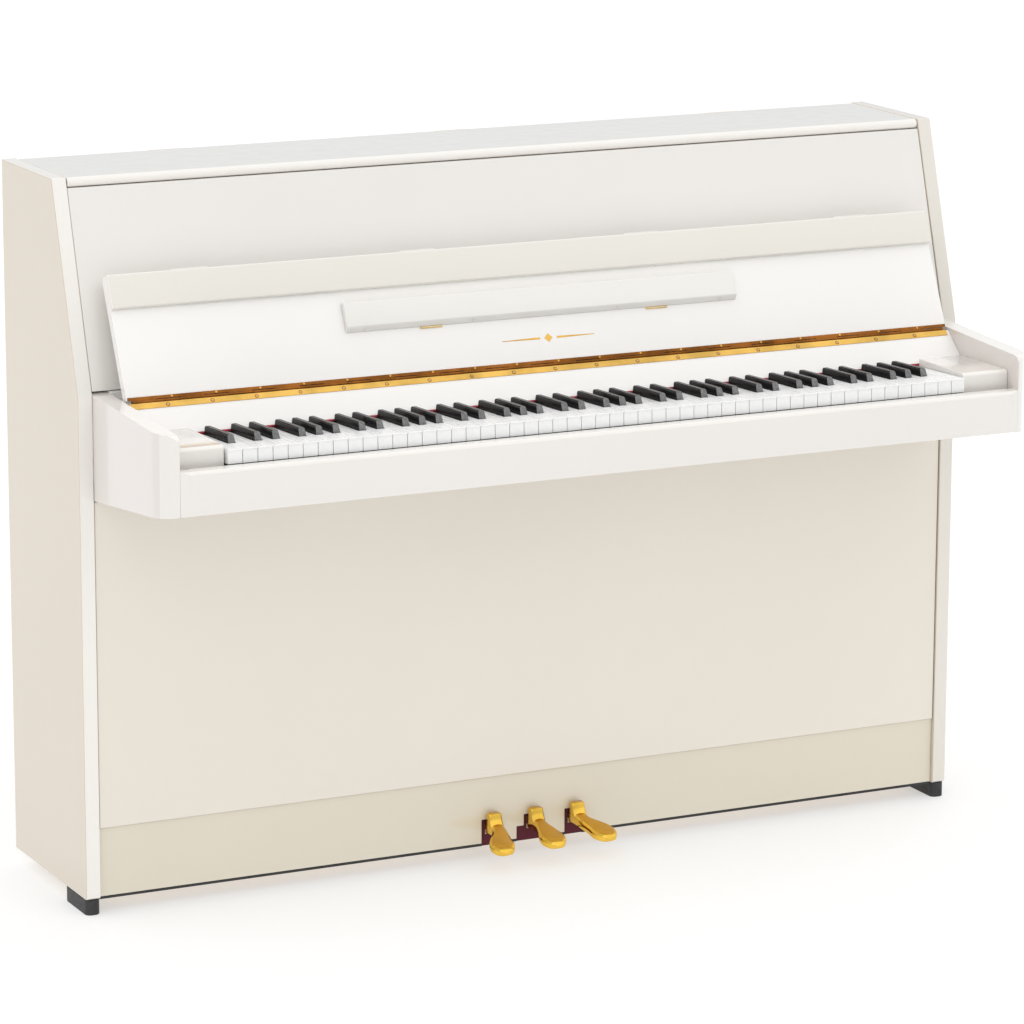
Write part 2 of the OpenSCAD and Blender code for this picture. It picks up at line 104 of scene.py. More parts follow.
# ---------------------------------------------------------------- finishes
class Finish:
    """A material whose colour, roughness and bump come from noise in the part's own frame."""

    def __init__(self, name, roughness, metallic=0.0, coat=0.0, coat_roughness=0.05,
                 sheen=0.0, ior=1.5):
        self.mat = bpy.data.materials.new(name)
        self.mat.use_nodes = True
        self.tree = self.mat.node_tree
        self.shader = self.tree.nodes["Principled BSDF"]
        self.shader.inputs["Roughness"].default_value = roughness
        self.shader.inputs["Metallic"].default_value = metallic
        self.shader.inputs["Coat Weight"].default_value = coat
        self.shader.inputs["Coat Roughness"].default_value = coat_roughness
        self.shader.inputs["Sheen Weight"].default_value = sheen
        self.shader.inputs["IOR"].default_value = ior
        self.coord = self.tree.nodes.new("ShaderNodeTexCoord").outputs["Object"]

    def link(self, a, b):
        self.tree.links.new(a, b)

    def stretched(self, stretch):
        """The part's own coordinates, scaled along each axis."""
        mapping = self.tree.nodes.new("ShaderNodeMapping")
        mapping.inputs["Scale"].default_value = stretch
        self.link(self.coord, mapping.inputs["Vector"])
        return mapping.outputs["Vector"]

    def noise(self, scale, detail=3.0, stretch=(1, 1, 1), distortion=0.0):
        """Cloudy variation from 0 to 1."""
        n = self.tree.nodes.new("ShaderNodeTexNoise")
        n.inputs["Scale"].default_value = scale
        n.inputs["Detail"].default_value = detail
        n.inputs["Distortion"].default_value = distortion
        self.link(self.stretched(stretch), n.inputs["Vector"])
        return n.outputs["Fac"]

    def wave(self, scale, stretch, distortion, axis):
        """Bands across an axis, bent by distortion."""
        w = self.tree.nodes.new("ShaderNodeTexWave")
        w.bands_direction = axis
        w.inputs["Scale"].default_value = scale
        w.inputs["Distortion"].default_value = distortion
        w.inputs["Detail"].default_value = 3.0
        w.inputs["Detail Scale"].default_value = 1.2
        self.link(self.stretched(stretch), w.inputs["Vector"])
        return w.outputs["Fac"]

    def colours(self, fac, *stops):
        """Base colour along fac: stops are (position, colour)."""
        ramp = self.tree.nodes.new("ShaderNodeValToRGB")
        elements = ramp.color_ramp.elements
        while len(elements) < len(stops):
            elements.new(0.5)
        for element, (at, colour) in zip(elements, stops):
            element.position = at
            element.color = (*colour, 1)
        self.link(fac, ramp.inputs["Fac"])
        self.link(ramp.outputs["Color"], self.shader.inputs["Base Color"])
        return self

    def roughness(self, fac, low, high):
        """Roughness that follows fac from low to high."""
        span = self.tree.nodes.new("ShaderNodeMapRange")
        span.inputs["From Min"].default_value = 0.3
        span.inputs["From Max"].default_value = 0.7
        span.inputs["To Min"].default_value = low
        span.inputs["To Max"].default_value = high
        self.link(fac, span.inputs["Value"])
        self.link(span.outputs["Result"], self.shader.inputs["Roughness"])
        return self

    def bump(self, fac, strength, depth_mm):
        """Relief that follows fac, depth_mm deep."""
        bump = self.tree.nodes.new("ShaderNodeBump")
        bump.inputs["Strength"].default_value = strength
        bump.inputs["Distance"].default_value = depth_mm * MM
        self.link(fac, bump.inputs["Height"])
        self.link(bump.outputs["Normal"], self.shader.inputs["Normal"])
        return self


def shade(colour, factor):
    """The colour made darker or lighter."""
    return tuple(c * factor for c in colour)


def lacquer(name, colour):
    """Polished polyester: a deep gloss coat over ivory paint, faintly wavy."""
    f = Finish(name, 0.16, coat=0.7, coat_roughness=0.03)
    f.colours(f.noise(2.6, 4), (0.3, shade(colour, 0.985)), (0.7, shade(colour, 1.01)))
    f.roughness(f.noise(38, 4), 0.13, 0.2)
    return f.bump(f.noise(26, 2), 0.05, 0.25).mat


def wood(name, light, dark, grain, across, roughness=0.55, coat=0.0):
    """Sawn wood: growth rings drawn out along the grain, with pores."""
    stretch = tuple(0.06 if axis == grain else 1.0 for axis in "XYZ")
    f = Finish(name, roughness, coat=coat, coat_roughness=0.2)
    rings = f.wave(34, stretch, 7.5, across)
    late = tuple(0.55 * a + 0.45 * b for a, b in zip(light, dark))
    f.colours(rings, (0.1, light), (0.62, shade(light, 0.95)), (0.97, late))
    pores = f.noise(520, 5, stretch)
    f.roughness(pores, roughness - 0.1, roughness + 0.12)
    return f.bump(pores, 0.35, 0.2).mat


def metal(name, colour, low, high, brushed=(1, 1, 1), tarnish=0.8, scale=160):
    """Metal with a fine directional polish and a little tarnish in patches."""
    f = Finish(name, low, metallic=1.0)
    f.colours(f.noise(22, 5), (0.35, shade(colour, tarnish)), (0.62, colour))
    lines = f.noise(scale, 5, brushed)
    f.roughness(lines, low, high)
    return f.bump(lines, 0.12, 0.06).mat


def felt(name, colour, sheen=0.5):
    """Pressed wool: matt, with fibres that lighten and darken it."""
    f = Finish(name, 0.95, sheen=sheen)
    fibres = f.noise(900, 6, distortion=1.5)
    f.colours(fibres, (0.3, shade(colour, 0.7)), (0.7, shade(colour, 1.12)))
    f.roughness(fibres, 0.88, 1.0)
    return f.bump(fibres, 0.7, 0.35).mat


# The case is one ivory lacquer, the first below. The others are lighter and darker copies of
# it, painted light and shade for the faces they are put on.
FRONT = lacquer("lacquer_ivory", (0.825, 0.80, 0.762))
# Painted light: a lighter copy for the fall board and hinge rail, which lean back into the
# light.
BOARD_LIT = lacquer("lacquer_ivory_board_painted_light", (0.935, 0.915, 0.89))
# Painted shade: a darker copy for the lid's top.
LID_TOP_SHADED = lacquer("lacquer_ivory_lid_top_painted_shade", (0.775, 0.77, 0.735))
# Painted shade: a darker copy for the arms' side faces.
ARM_SIDES_SHADED = lacquer("lacquer_ivory_arm_sides_painted_shade", (0.765, 0.715, 0.68))
# Painted highlight: a lighter copy for edges and tops that catch the light.
EDGE_HIGHLIGHT = lacquer("lacquer_ivory_edges_painted_highlight", (0.89, 0.86, 0.815))
# Painted shade: a darker copy for the right side panel's front edge.
FAR_EDGE_SHADED = lacquer("lacquer_ivory_far_edge_painted_shade", (0.785, 0.75, 0.68))
# Painted shade and painted warm reflection of the floor: a darker, warmer copy for the lower
# panel under the key bed.
LOWER_PANEL_SHADED_WARM = lacquer("lacquer_ivory_lower_panel_painted_shade", (0.805, 0.75, 0.665))
# Painted shade: a darker, warmer copy for the toe rail.
TOE_RAIL_SHADED = lacquer("lacquer_ivory_toe_rail_painted_shade", (0.735, 0.68, 0.56))
# Painted shade and painted warm reflection of the floor: a darker, warmer copy for the side
# panels' side faces.
SIDES_SHADED_WARM = lacquer("lacquer_ivory_sides_painted_shade", (0.665, 0.585, 0.475))
# Painted shade: a darker copy for the fall board's lip.
LIP_SHADED = lacquer("lacquer_ivory_lip_painted_shade", (0.79, 0.765, 0.70))
# Painted light: a lighter copy for the music shelf.
SHELF_LIT = lacquer("lacquer_ivory_shelf_painted_light", (0.86, 0.84, 0.80))
BACK_WOOD = wood("spruce_posts", (0.72, 0.55, 0.34), (0.52, 0.35, 0.18), "Z", "X")
BEAM_WOOD = wood("spruce_beams", (0.72, 0.55, 0.34), (0.50, 0.34, 0.18), "X", "Z")
HARD_WOOD = wood("maple", (0.68, 0.50, 0.31), (0.52, 0.36, 0.20), "Z", "X", 0.45, 0.15)
SOUND = wood("soundboard_spruce", (0.80, 0.62, 0.37), (0.66, 0.47, 0.25), "X", "Z", 0.38, 0.35)
BRASS = metal("polished_brass", (0.80, 0.49, 0.12), 0.12, 0.24, (1, 14, 14), 0.72)
# The pedals' brass in two copies: a lighter one, painted highlight for the rims and neck, and
# a darker, satin one for the plateau, painted shade.
PEDAL_BRASS_LIT = metal("pedal_brass", (0.95, 0.60, 0.09), 0.06, 0.16, (14, 1, 14), 0.8, 90)
PEDAL_SATIN_SHADED = metal("pedal_brass_satin_painted_shade", (0.74, 0.40, 0.05), 0.16, 0.3, (14, 1, 14), 0.85)
PALE_BRASS = metal("shelf_hinge_brass", (0.90, 0.70, 0.38), 0.2, 0.35, (1, 14, 14), 0.85)
NICKEL = metal("nickel", (0.90, 0.90, 0.89), 0.25, 0.4, (1, 1, 1), 0.95)
BRONZE = metal("aged_hinge_brass", (0.36, 0.13, 0.026), 0.16, 0.34, (1, 18, 18), 0.5)
SCREW = metal("screw_steel_brassed", (0.72, 0.52, 0.24), 0.2, 0.4, (1, 1, 1), 0.75)
STEEL = metal("blued_steel", (0.60, 0.61, 0.63), 0.2, 0.35, (20, 20, 1), 0.85)
BLACK_STEEL = metal("black_oxide_steel", (0.09, 0.09, 0.095), 0.35, 0.5)


def make_plate_iron():
    """Sand-cast iron under bronze paint."""
    f = Finish("gilded_cast_iron", 0.42, metallic=0.75)
    f.colours(f.noise(9, 5), (0.35, (0.50, 0.34, 0.13)), (0.7, (0.62, 0.44, 0.19)))
    f.roughness(f.noise(60, 4), 0.34, 0.5)
    return f.bump(f.noise(240, 4), 0.4, 0.3).mat


def make_copper_winding():
    """Wire wound with copper, one band a turn, its groove darker as painted shade."""
    f = Finish("copper_wound_wire", 0.3, metallic=1.0)
    turns = f.wave(420, (1, 1, 1), 0.0, "Z")
    # Painted shade: the dark band of each turn lies in the groove between turns.
    f.colours(turns, (0.2, (0.42, 0.17, 0.08)), (0.8, (0.80, 0.40, 0.22)))
    f.roughness(f.noise(80, 3), 0.25, 0.4)
    return f.bump(turns, 0.6, 0.2).mat


def make_white_key():
    """Key covers, faintly grained along the key."""
    f = Finish("key_cover_white", 0.28, coat=0.08, coat_roughness=0.12, ior=1.4)
    f.colours(f.noise(34, 4), (0.3, (0.935, 0.94, 0.94)), (0.7, (0.96, 0.965, 0.965)))
    grain = f.noise(300, 4, (1, 0.08, 1))
    f.roughness(grain, 0.24, 0.36)
    return f.bump(grain, 0.04, 0.05).mat


def make_black_key():
    """Sharps, deep black with a low sheen."""
    f = Finish("key_cover_black", 0.16, ior=1.13)
    grain = f.noise(420, 5, (1, 0.05, 1))
    f.colours(grain, (0.3, (0.010, 0.010, 0.011)), (0.75, (0.024, 0.022, 0.022)))
    f.roughness(grain, 0.12, 0.22)
    return f.bump(grain, 0.06, 0.05).mat


def make_black_key_painted_highlight():
    """A lighter grey for the black keys' rounded edges and front faces: painted highlight on
    the edges, painted reflection of the white keys on the fronts.
    """
    f = Finish("key_black_painted_highlight_reflection", 0.12, coat=0.6, coat_roughness=0.05)
    f.colours(f.noise(300, 4, (1, 0.1, 1)), (0.3, (0.10, 0.10, 0.102)),
              (0.75, (0.20, 0.20, 0.202)))
    return f.bump(f.noise(400, 4), 0.05, 0.05).mat


def make_black_rubber_and_shade():
    """Feet, and the black strip under the toe rail that is painted shade."""
    f = Finish("foot_black_and_painted_shade", 0.5)
    f.colours(f.noise(60, 4), (0.3, (0.012, 0.012, 0.013)), (0.7, (0.03, 0.03, 0.032)))
    f.roughness(f.noise(200, 4), 0.4, 0.6)
    return f.bump(f.noise(500, 3), 0.3, 0.15).mat


PLATE_IRON = make_plate_iron()
COPPER = make_copper_winding()
WHITE_KEY = make_white_key()
BLACK_KEY = make_black_key()
BLACK_KEY_HIGHLIGHT = make_black_key_painted_highlight()
BLACK_RUBBER_AND_SHADE = make_black_rubber_and_shade()
WHITE_FELT = felt("hammer_felt", (0.80, 0.77, 0.70))
RED_FELT = felt("name_board_felt", (0.52, 0.02, 0.05))
MAROON_FELT = felt("pedal_slot_felt", (0.10, 0.010, 0.025), 0.2)


# ---------------------------------------------------------------- making pieces
# How a section's (u, v, w) lie in the room: seen from the front, and from the side
FRONT_VIEW = Matrix(((1, 0, 0, 0), (0, 0, 1, 0), (0, 1, 0, 0), (0, 0, 0, 1)))
SIDE_VIEW = Matrix(((0, 0, 1, 0), (1, 0, 0, 0), (0, 1, 0, 0), (0, 0, 0, 1)))


def new_piece(name, bm, material, body, smooth_over=40):
    """A mesh piece from a bmesh in metres. Edges sharper than smooth_over stay crisp."""
    mesh = bpy.data.meshes.new(name)
    bmesh.ops.recalc_face_normals(bm, faces=bm.faces)
    bm.to_mesh(mesh)
    bm.free()
    mesh.shade_smooth()
    mesh.set_sharp_from_angle(angle=math.radians(smooth_over))
    mesh.materials.append(material)
    obj = bpy.data.objects.new(name, mesh)
    bpy.context.scene.collection.objects.link(obj)
    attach(obj, body)
    return obj


def clean_copy(node):
    """The CAD node's mesh with its corners welded and its flat faces whole."""
    bm = bmesh.new()
    bm.from_mesh(NODES[node].data)
    bmesh.ops.remove_doubles(bm, verts=bm.verts, dist=0.01 * MM)
    bmesh.ops.dissolve_limit(bm, angle_limit=math.radians(0.4), verts=bm.verts,
                             edges=bm.edges)
    return bm


def soften(node, material, width, segments=3, angle=28):
    """A copy of the CAD node with rounded edges stands in for it."""
    piece = new_piece(node + "_finish", clean_copy(node), material,
                      NODES[node]["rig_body"], 32)
    bevel = piece.modifiers.new("rounded_edges", "BEVEL")
    bevel.width = width * MM
    bevel.segments = segments
    bevel.limit_method = "ANGLE"
    bevel.angle_limit = math.radians(angle)
    bevel.harden_normals = True
    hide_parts(node)
    return piece


def paint_light_by_facing(piece, material, chosen):
    """A lighter or darker copy of the finish for the faces whose direction is chosen: painted
    light and shade by how each face is turned.
    """
    piece.data.materials.append(material)
    for face in piece.data.polygons:
        if chosen(face.normal):
            face.material_index = len(piece.data.materials) - 1
    return piece


def dress(node, material):
    """Gives a CAD node that is shown as it is its finish."""
    for s in NODES[node].material_slots:
        s.material = material


def add_tube(bm, a, b, r, sides=20):
    """A closed round bar from a to b, in millimetres."""
    a, b = Vector(a), Vector(b)
    turn = (b - a).to_track_quat("Z", "Y").to_matrix().to_4x4()
    where = Matrix.Translation((a + b) / 2) @ turn
    bmesh.ops.create_cone(bm, cap_ends=True, segments=sides, radius1=r, radius2=r,
                          depth=(b - a).length, matrix=where)


def add_prism(bm, outline, low, high, place):
    """An outline of (u, v) points as a solid from low to high along w, put in place."""
    rings = [[bm.verts.new(place @ Vector((u, v, w))) for u, v in outline]
             for w in (low, high)]
    n = len(outline)
    bm.faces.new(rings[0])
    bm.faces.new(rings[1])
    for i in range(n):
        j = (i + 1) % n
        bm.faces.new((rings[0][i], rings[0][j], rings[1][j], rings[1][i]))


def add_stack(bm, rings, place):
    """A lathe-like solid: rings of (outline, height), closed at both ends."""
    made = [[bm.verts.new(place @ Vector((u, v, w))) for u, v in outline]
            for outline, w in rings]
    n = len(made[0])
    bm.faces.new(made[0])
    bm.faces.new(made[-1])
    for low, high in zip(made, made[1:]):
        for i in range(n):
            j = (i + 1) % n
            bm.faces.new((low[i], low[j], high[j], high[i]))


def circle(r, n=24, start=0.0, sweep=360.0):
    """Points of a circle, or of an arc with both its ends."""
    count = n if sweep == 360 else n + 1
    return [(r * math.cos(math.radians(start + sweep * i / n)),
             r * math.sin(math.radians(start + sweep * i / n))) for i in range(count)]


SUNK = -0.3
SLOT_SHARE = 0.16
RIM_SHARE = 0.35
# Each half's crown: (share of the radius, share of the height)
CROWN = ((0.93, 0.3), (0.93, 0.62), (0.62, 0.9))


def add_screw(bm, place, r, height, slot_turn):
    """A slotted screw head: a rim, and two crowned halves either side of the slot.

    place puts the head's foot at its origin, with w pointing out of the surface.
    SUNK is how far it starts below that, SLOT_SHARE the slot's width over the head's."""
    add_stack(bm, [(circle(r), SUNK), (circle(r), height * RIM_SHARE)], place)
    gap = math.degrees(math.asin(SLOT_SHARE))
    for side in (0, 180):
        start = slot_turn + side + gap
        half = [(circle(k * r, 12, start, 180 - 2 * gap), height * h) for k, h in CROWN]
        add_stack(bm, half, place)


def scaled(bm):
    """From the script's millimetres to the scene's metres."""
    bmesh.ops.scale(bm, vec=(MM, MM, MM), verts=bm.verts)
    return bm


def surface_place(point, out, up=(0, 0, 1)):
    """Axes for something that stands on a surface at point, facing out."""
    out = Vector(out).normalized()
    u = Vector(up).cross(out).normalized()
    v = out.cross(u)
    turn = Matrix((u, v, out)).transposed().to_4x4()
    return Matrix.Translation(Vector(point)) @ turn


# ---------------------------------------------------------------- the case
# Painted light on the side panels: the left one's front edge in the lighter highlight copy,
# the right one's in the darker shaded copy, and their side faces in the darker, warmer copy
# for shade and warm floor reflection.
for panel, edge in (("side_panel_left", EDGE_HIGHLIGHT), ("side_panel_right", FAR_EDGE_SHADED)):
    paint_light_by_facing(soften(panel, edge, 1.6), SIDES_SHADED_WARM,
             lambda normal: abs(normal.x) > 0.9)
# The arms: side faces in a darker copy as painted shade, faces turned up in a lighter copy as
# painted highlight.
for node in ("arm_left", "arm_right"):
    arm = soften(node, FRONT, 1.2)
    paint_light_by_facing(arm, ARM_SIDES_SHADED, lambda normal: abs(normal.x) > 0.9)
    paint_light_by_facing(arm, EDGE_HIGHLIGHT, lambda normal: normal.z > 0.5)
# Tops and rounded top edges in a lighter copy, as painted highlight.
for node in ("key_slip", "key_block_left", "key_block_right"):
    paint_light_by_facing(soften(node, FRONT, 1.2), EDGE_HIGHLIGHT,
             lambda normal: normal.z > 0.35)
soften("upper_panel", FRONT, 1.0)
# The lid: edges and sides in a lighter copy as painted highlight, its top in a darker copy as
# painted shade.
paint_light_by_facing(soften("top_lid", EDGE_HIGHLIGHT, 0.8), LID_TOP_SHADED,
         lambda normal: normal.z > 0.98)
# The hinge rail in the fall board's lighter copy, as painted light.
soften("hinge_rail", BOARD_LIT, 0.5, 2)
# The lower panel in a darker, warmer copy: painted shade under the key bed and painted warm
# reflection of the floor.
soften("lower_panel", LOWER_PANEL_SHADED_WARM, 1.2)
# The toe rail in a darker, warmer copy, as painted shade.
soften("toe_rail", TOE_RAIL_SHADED, 0.8)
soften("key_bed", FRONT, 1.0)
soften("bottom_board", BEAM_WOOD, 0.6, 2)
soften("front_feet", BLACK_RUBBER_AND_SHADE, 1.2)
soften("rear_feet", BLACK_RUBBER_AND_SHADE, 1.2)
soften("back_posts", BACK_WOOD, 2.5)
soften("back_beams", BEAM_WOOD, 2.0)
soften("iron_plate", PLATE_IRON, 0.8, 2)
soften("name_felt", RED_FELT, 0.6, 2)

# ---------------------------------------------------------------- keyboard
for note in "cdefgab":
    soften("keys_" + note, WHITE_KEY, 0.55)
for note in "cdfga":
    sharps = soften("keys_" + note + "_sharp", BLACK_KEY, 0.6, 2)
    # The sharps' front faces, and their rounded edges, in a lighter grey: painted reflection
    # of the white keys and painted highlight.
    paint_light_by_facing(sharps, BLACK_KEY_HIGHLIGHT, lambda normal: normal.y < -0.5)
    sharps.modifiers["rounded_edges"].material = 1
soften("key_frame", BEAM_WOOD, 0.8, 2)

# ---------------------------------------------------------------- inside
dress("soundboard", SOUND)
soften("soundboard_ribs", SOUND, 1.0, 2)
soften("bridges", HARD_WOOD, 0.8, 2)
soften("pin_block", BEAM_WOOD, 0.8, 2)
soften("action_frame", PLATE_IRON, 1.0, 2)
soften("muffler_rail", WHITE_FELT, 1.2)
for node, material in (("tuning_pins", STEEL), ("strings_treble", STEEL),
                       ("strings_bass", COPPER), ("hammer_heads", WHITE_FELT),
                       ("hammer_shanks", HARD_WOOD), ("dampers", RED_FELT),
                       ("rod_soft", HARD_WOOD), ("rod_practice", HARD_WOOD),
                       ("rod_sustain", HARD_WOOD)):
    dress(node, material)

# ---------------------------------------------------------------- fall board
# The open board leans back from its hinge pin; the rail under the pin slopes forward.
FALL_AXIS = Vector(JOINTS["fall_close"]["pos_m"]) / MM
FALL_LEAN = 25.0
RAIL_SLOPE = 42.45
FALL_PLACE = Matrix.Translation(FALL_AXIS) @ Matrix.Rotation(
    math.radians(-FALL_LEAN), 4, "X")
RAIL_PLACE = Matrix.Translation(FALL_AXIS) @ Matrix.Rotation(
    math.radians(RAIL_SLOPE), 4, "X")
# Faces of the lower leaf that lie nearer the pin than this are its knuckles.
KNUCKLE_REACH = 3.2
# The screws of the full-length hinge
HINGE_PITCH = 70.0
HINGE_SCREWS = 19
HINGE_X = [(i - (HINGE_SCREWS - 1) / 2) * HINGE_PITCH for i in range(HINGE_SCREWS)]
UPPER_ROW = (9, -1.2, 5.1)
LOWER_ROW = (0, -8.4, 0.6)
# Screw heads: (radius, height)
UPPER_HEAD = (1.7, 0.5)
LOWER_HEAD = (2.0, 0.6)
SHELF_HEAD = (2.1, 0.5)
SINK = circle(3.1)
# The inlay's middle above the pin, and how far it is let in and stands proud
INLAY_HEIGHT = 42
INLAY_LOW, INLAY_HIGH = -0.2, 0.22
LOZENGE_REACH = 7
# The music shelf's screws, in its sloping lower face
SHELF_SCREW_X = (-300, -122, 122, 300)
SHELF_FACE = (-5.9, 78.95)
SHELF_FACE_OUT = (0, -0.655, -0.756)

# The fall board in a lighter copy, as painted light.
soften("fall_board", BOARD_LIT, 1.0)
# The lip in a darker copy as painted shade; its ends, top and rounded edges in a lighter copy
# as painted highlight.
lip = soften("fall_lip", LIP_SHADED, 0.8)
paint_light_by_facing(lip, EDGE_HIGHLIGHT, lambda normal: abs(normal.x) > 0.9 or normal.z > 0.75)
lip.modifiers["rounded_edges"].material = 1
# The music shelf in a lighter copy, as painted light.
soften("music_shelf", SHELF_LIT, 0.5, 2)
dress("fall_hinge_moving_leaf", BRONZE)
dress("lip_hinge", FRONT)
dress("music_shelf_hinges", PALE_BRASS)


def add_fixed_leaf():
    """The lower leaf is polished; its knuckles have aged like the upper leaf."""
    leaf = new_piece("fall_hinge_fixed_leaf_finish", clean_copy("fall_hinge_fixed_leaf"),
                     BRASS, "case", 30)
    leaf.data.materials.append(BRONZE)
    axis = FALL_AXIS * MM
    for face in leaf.data.polygons:
        reach = math.hypot(face.center.y - axis.y, face.center.z - axis.z)
        face.material_index = int(reach < KNUCKLE_REACH * MM)
    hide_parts("fall_hinge_fixed_leaf")


add_fixed_leaf()


def on_board(x, y, z, out=(0, -1, 0)):
    """A place on the open fall board, given in the board's own axes."""
    return FALL_PLACE @ surface_place((x, y, z), out)


def add_fall_hinge_screws():
    """A row in each leaf, with every slot at its own turn; the lower row is sunk."""
    upper, lower, rims = bmesh.new(), bmesh.new(), bmesh.new()
    for i, x in enumerate(HINGE_X):
        shift, out, up = UPPER_ROW
        add_screw(upper, on_board(x + shift, out, up), *UPPER_HEAD, 37 * i)
        shift, along, out = LOWER_ROW
        place = RAIL_PLACE @ surface_place((x + shift, along, out), (0, 0, 1), (0, 1, 0))
        add_screw(lower, place, *LOWER_HEAD, 53 * i)
        add_stack(rims, [(SINK, -0.2), (SINK, 0.08)], place)
    new_piece("fall_hinge_upper_screws", scaled(upper), BRASS, "fall")
    new_piece("fall_hinge_lower_screws", scaled(lower), SCREW, "case")
    new_piece("fall_hinge_screw_sinks", scaled(rims), BRONZE, "case")


add_fall_hinge_screws()


def add_board_inlay():
    """A small brass lozenge between two tapering bars, where a name would be."""
    bm = bmesh.new()
    place = on_board(0, 0, INLAY_HEIGHT)
    add_prism(bm, circle(LOZENGE_REACH, 4, 180), INLAY_LOW, INLAY_HIGH, place)
    for side in (-1, 1):
        bar = [(side * x, y) for x, y in ((14, -1.7), (78, -0.5), (78, 0.5), (14, 1.7))]
        add_prism(bm, bar, INLAY_LOW, INLAY_HIGH, place)
    new_piece("fall_board_inlay", scaled(bm), BRASS, "fall")


add_board_inlay()


def add_shelf_screws():
    """Screws in the shelf's sloping lower face."""
    bm = bmesh.new()
    for x in SHELF_SCREW_X:
        add_screw(bm, on_board(x, *SHELF_FACE, SHELF_FACE_OUT), *SHELF_HEAD, 20 + x)
    new_piece("music_shelf_screws", scaled(bm), NICKEL, "shelf")


add_shelf_screws()


# ---------------------------------------------------------------- pedals
# The foot plate's height at steps along its length: (y, underside, top).
FOOT_RISE = ((-12, 42, 61), (-24, 43, 61), (-32, 43.5, 60.6), (-42, 42.6, 57.2),
             (-56, 39.8, 53.6), (-70, 36.8, 50), (-80, 34.6, 47.4), (-90, 32.8, 45),
             (-98, 31.2, 42), (-102.4, 33, 38.4))
# Half widths of the foot plate at the neck and at the toe
FOOT_HALF_NECK = 10.6
FOOT_HALF_TOE = 20.0
# Where it starts, where it begins to widen and over what length
FOOT_START = -12
WIDEN_START = -34
WIDEN_LENGTH = 46
# The middle of the toe's rounding and how far it reaches past that
TOE_CENTRE = -80.5
TOE_REACH = 21.9
SIDE_STEPS = 18
TOE_STEPS = 15
# The toe's share of extra flare, and the rings over which the bulges die away
TOE_LEAN = 0.15
FADE_RINGS = 6
# The plate's edge from its underside to the plateau: (inset, share of the height)
FOOT_EDGE = ((2.6, 0.0), (0.7, 0.1), (0.0, 0.3), (0.0, 0.72), (0.5, 0.84), (3.0, 0.98),
             (3.5, 1.0))
# How far the middle of the underside and of the plateau bulge
UNDER_BULGE = -0.3
TOP_BULGE = 0.7
# The neck at rising heights: (height, front, half width, chamfer)
NECK_RISE = ((46, -30, 10.4, 1.2), (58, -33.5, 10.6, 1.4), (61.5, -31.6, 10.6, 1.8),
             (65, -29.2, 10.5, 2.0), (70, -27.6, 10.4, 2.0), (74.6, -26.6, 10.3, 2.0),
             (76.2, -26.0, 9.9, 2.2), (77, -24.6, 8.6, 2.4))
NECK_BACK = -12.2
NECK_HOLLOW = 0.9
NECK_TAPER = 0.7
# The lever behind the neck, and the pin that it turns on
LEVER_FRONT, LEVER_BACK = -16, 118
LEVER_LOW, LEVER_HIGH = 46, 58
LEVER_HALF = 8
PIN_Y, PIN_Z, PIN_RADIUS, PIN_HALF = 45, 52, 4, 17
PEDAL_FLARE = 15.0


def middle_x(node):
    """The middle of a node from side to side."""
    return sum(corner.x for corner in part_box(node)) / 2 / MM


PEDAL_X = [middle_x(rod) for rod in ("rod_soft", "rod_practice", "rod_sustain")]


def foot_height(y):
    """Underside and top of the foot plate at a distance in front of the case."""
    for (y0, b0, t0), (y1, b1, t1) in zip(FOOT_RISE, FOOT_RISE[1:]):
        if y >= y1:
            k = (y - y0) / (y1 - y0)
            return b0 + (b1 - b0) * k, t0 + (t1 - t0) * k
    return FOOT_RISE[-1][1:]


def foot_outline(flare, inset):
    """The plate from the neck to the tip of the toe: (middle, half width, y)."""
    pairs = []
    for i in range(SIDE_STEPS + 1):
        y = FOOT_START + (TOE_CENTRE - FOOT_START) * i / SIDE_STEPS
        t = min(1, max(0, (WIDEN_START - y) / WIDEN_LENGTH))
        ease = t * t * (3 - 2 * t)
        half = FOOT_HALF_NECK + (FOOT_HALF_TOE - FOOT_HALF_NECK) * ease - inset
        pairs.append((flare * ease, half, y))
    for i in range(1, TOE_STEPS):
        a = math.radians(90 * i / TOE_STEPS)
        pairs.append((flare * (1 + TOE_LEAN * math.sin(a)),
                      (FOOT_HALF_TOE - inset) * math.cos(a),
                      TOE_CENTRE - (TOE_REACH - inset) * math.sin(a)))
    return pairs


def add_foot(bm, x, flare):
    """The foot plate: a crowned top inside a chamfer, above a rounded underside."""
    sides = []
    for inset, share in FOOT_EDGE:
        left, right = [], []
        for mid, half, y in foot_outline(flare, inset):
            low, high = foot_height(y)
            z = low + (high - low) * share
            left.append(bm.verts.new((x + mid - half, y, z)))
            right.append(bm.verts.new((x + mid + half, y, z)))
        sides.append(left + right[::-1])
    for low, high in zip(sides, sides[1:]):
        n = len(low)
        for i in range(n):
            j = (i + 1) % n
            bm.faces.new((low[i], low[j], high[j], high[i]))
    for ring, lift in ((sides[0], UNDER_BULGE), (sides[-1], TOP_BULGE)):
        n = len(ring) // 2
        middle = []
        for i in range(n):
            at = (ring[i].co + ring[-1 - i].co) / 2
            fade = min(1, (n - 1 - i) / FADE_RINGS)
            middle.append(bm.verts.new((at.x, at.y, at.z + lift * fade)))
        for i in range(n - 1):
            bm.faces.new((ring[i], ring[i + 1], middle[i + 1], middle[i]))
            bm.faces.new((middle[i], middle[i + 1], ring[-2 - i], ring[-1 - i]))
        bm.faces.new((ring[0], middle[0], ring[-1]))
        bm.faces.new((ring[n - 1], ring[n], middle[n - 1]))


